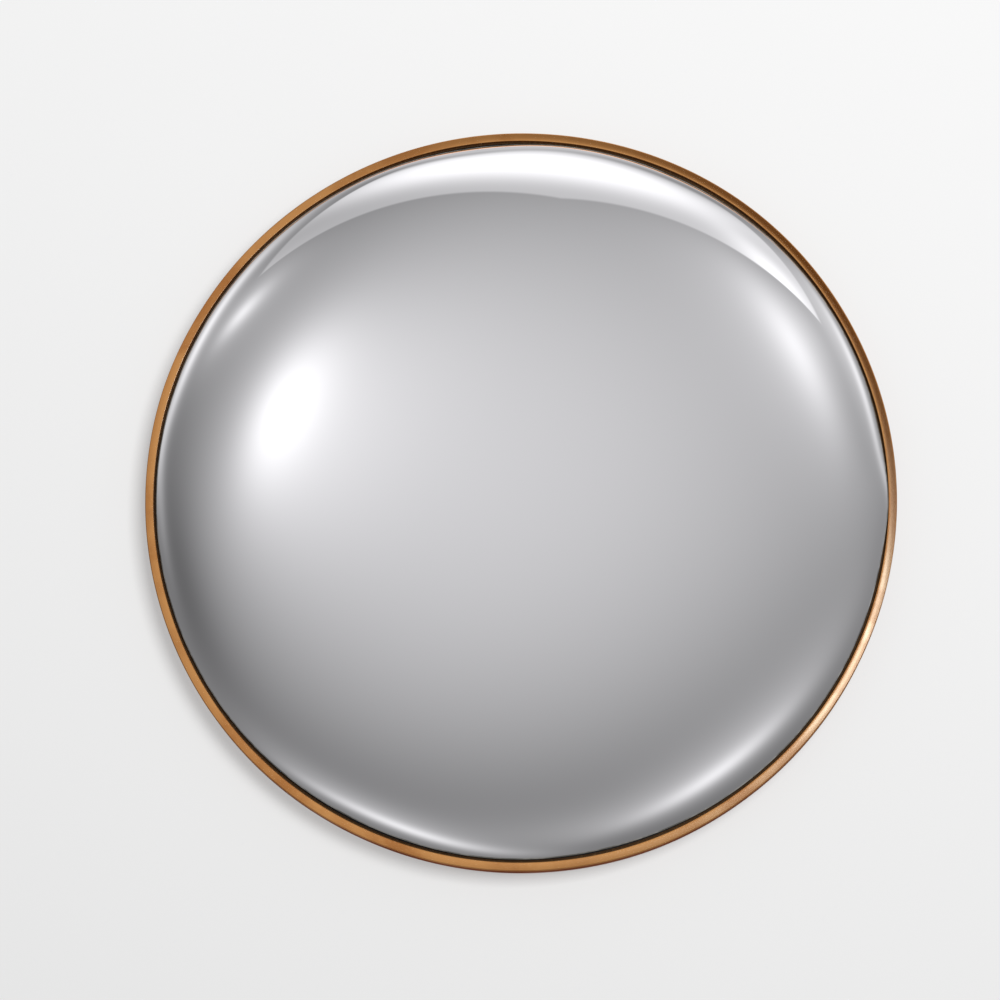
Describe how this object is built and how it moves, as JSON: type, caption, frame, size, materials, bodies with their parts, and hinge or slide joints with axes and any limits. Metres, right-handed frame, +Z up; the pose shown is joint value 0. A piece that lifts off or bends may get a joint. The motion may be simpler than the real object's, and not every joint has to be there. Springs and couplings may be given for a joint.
{
  "type": "convex wall mirror",
  "caption": "Round convex wall mirror: a domed silvered glass set inside a slim aged-brass hoop, on a board with strap hangers and rubber bumpers.",
  "frame": {"origin": "the mirror's axis on the wall plane, which is the plane of the four bumper faces", "axes": "+Y points from the mirror into the wall, along the mirror's axis; the domed glass faces -Y; +Z is up; +X is to the right as the glass is looked at"},
  "size_m": [0.6099, 0.0929, 0.61],
  "materials": {
    "aged_brass": "satin",
    "convex_glass": "polished",
    "silvering": "polished",
    "backing_paint": "matte",
    "foam_tape": "matte",
    "sealant": "satin",
    "board": "matte",
    "zinc_screw": "satin",
    "plated_strap": "satin",
    "plated_ring": "polished",
    "bumper_rubber": "matte"
  },
  "bodies": {
    "mirror": {"frame_band": "aged_brass", "frame_lug_top": "aged_brass", "frame_lug_lower_left": "aged_brass", "frame_lug_bottom": "aged_brass", "frame_lug_lower_right": "aged_brass", "hanger_plate_left": "aged_brass", "hanger_plate_right": "aged_brass", "mirror_glass": "convex_glass", "silver_film": "silvering", "backing_paint": "backing_paint", "glazing_tape": "foam_tape", "sealant_bead": "sealant", "backing_board": "board", "lug_screws": "zinc_screw", "plate_screws": "zinc_screw", "hanger_strap_left": "plated_strap", "hanger_strap_right": "plated_strap", "hanger_screws_left": "zinc_screw", "hanger_screws_right": "zinc_screw", "wall_bumper_upper_right": "bumper_rubber", "wall_bumper_upper_left": "bumper_rubber", "wall_bumper_lower_left": "bumper_rubber", "wall_bumper_lower_right": "bumper_rubber", "bumper_washers": "zinc_screw", "bumper_screws": "zinc_screw"},
    "left_ring": {"hanger_ring_left": "plated_ring"},
    "right_ring": {"hanger_ring_right": "plated_ring"}
  },
  "joints": [
    {"name": "left_ring_swing", "type": "hinge", "parent": "mirror", "child": "left_ring", "pos_m": [-0.2216, -0.00545, 0.146], "axis": [1, 0, 0], "range_deg": [0, 176]},
    {"name": "right_ring_swing", "type": "hinge", "parent": "mirror", "child": "right_ring", "pos_m": [0.2216, -0.00545, 0.146], "axis": [1, 0, 0], "range_deg": [0, 176]}
  ]
}
